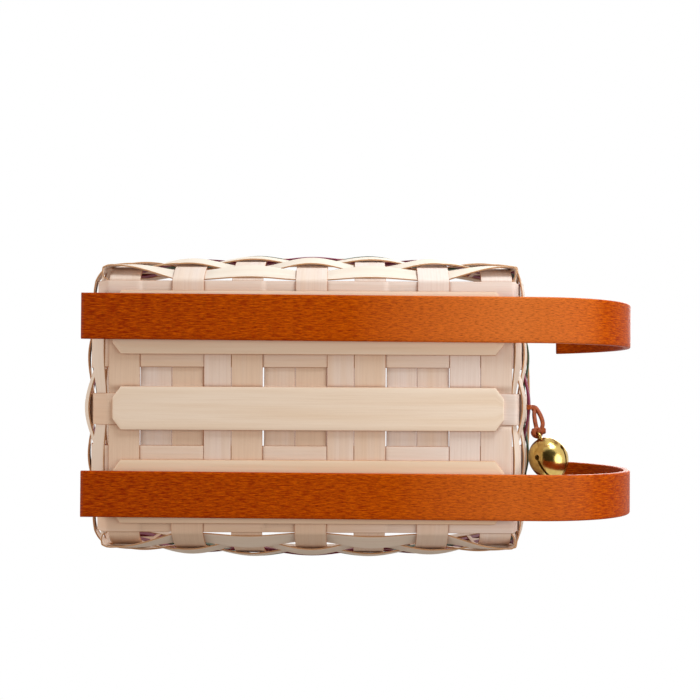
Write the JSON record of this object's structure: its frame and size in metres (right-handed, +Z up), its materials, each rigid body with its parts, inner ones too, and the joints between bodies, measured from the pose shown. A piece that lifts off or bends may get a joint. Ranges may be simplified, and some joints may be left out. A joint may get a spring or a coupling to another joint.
{
  "type": "sleigh basket",
  "caption": "Woven splint basket with dyed accent rows and a banded rim, carried on two bentwood sleigh runners with curled fronts, a crotal bell hanging from a leather lace.",
  "frame": {"origin": "middle of the bounding box in plan, at the level of the runner soles", "axes": "+X forward to the curls of the runners, +Y to the left, +Z up from the soles to the rim"},
  "size_m": [0.3506, 0.1986, 0.1296],
  "materials": {
    "maple_splint": "whitewashed maple splint, bare",
    "burgundy_splint": "dyed maple splint",
    "green_splint": "dyed maple splint",
    "stained_runner": "stained and varnished hardwood",
    "brass": "polished brass",
    "steel": "plain steel",
    "leather": "brown leather lace"
  },
  "bodies": {
    "basket": {"base_filler_1": "maple_splint", "base_filler_2": "maple_splint", "base_filler_3": "maple_splint", "base_filler_4": "maple_splint", "base_filler_5": "maple_splint", "base_filler_6": "maple_splint", "base_stay_centre": "maple_splint", "base_stay_left": "maple_splint", "base_stay_right": "maple_splint", "cross_upsplint_1": "maple_splint", "cross_upsplint_2": "maple_splint", "cross_upsplint_3": "maple_splint", "cross_upsplint_4": "maple_splint", "cross_upsplint_5": "maple_splint", "cross_upsplint_6": "maple_splint", "cross_upsplint_7": "maple_splint", "lace_tie": "leather", "long_upsplint_1": "maple_splint", "long_upsplint_2": "maple_splint", "long_upsplint_3": "maple_splint", "long_upsplint_4": "maple_splint", "long_upsplint_5": "maple_splint", "rim_band_inner": "maple_splint", "rim_band_outer": "maple_splint", "runner_left": "stained_runner", "runner_right": "stained_runner", "runner_screw_1": "steel", "runner_screw_2": "steel", "runner_screw_3": "steel", "runner_screw_4": "steel", "runner_screw_5": "steel", "runner_screw_6": "steel", "weaver_1_natural": "maple_splint", "weaver_2_natural": "maple_splint", "weaver_3_natural": "maple_splint", "weaver_4_burgundy": "burgundy_splint", "weaver_5_green": "green_splint", "weaver_6_burgundy": "burgundy_splint"},
    "lace": {"bell_lace": "leather"},
    "bell": {"bell_shell": "brass"},
    "pellet": {"bell_pellet": "steel"}
  },
  "joints": [
    {"name": "lace_swing", "type": "hinge", "parent": "basket", "child": "lace", "pos_m": [0.1106, 0, 0.05213], "axis": [1, 0, 0], "range_deg": [-133, 0]},
    {"name": "bell_rock", "type": "hinge", "parent": "lace", "child": "bell", "pos_m": [0.11255, 0.01921, 0.04148], "axis": [0.9273, -0.3661, 0.078], "range_deg": [-12, 12]},
    {"name": "pellet_rattle", "type": "slide", "parent": "bell", "child": "pellet", "axis": [-0.3749, -0.9068, 0.1929], "range_m": [0, 0.0136]}
  ]
}
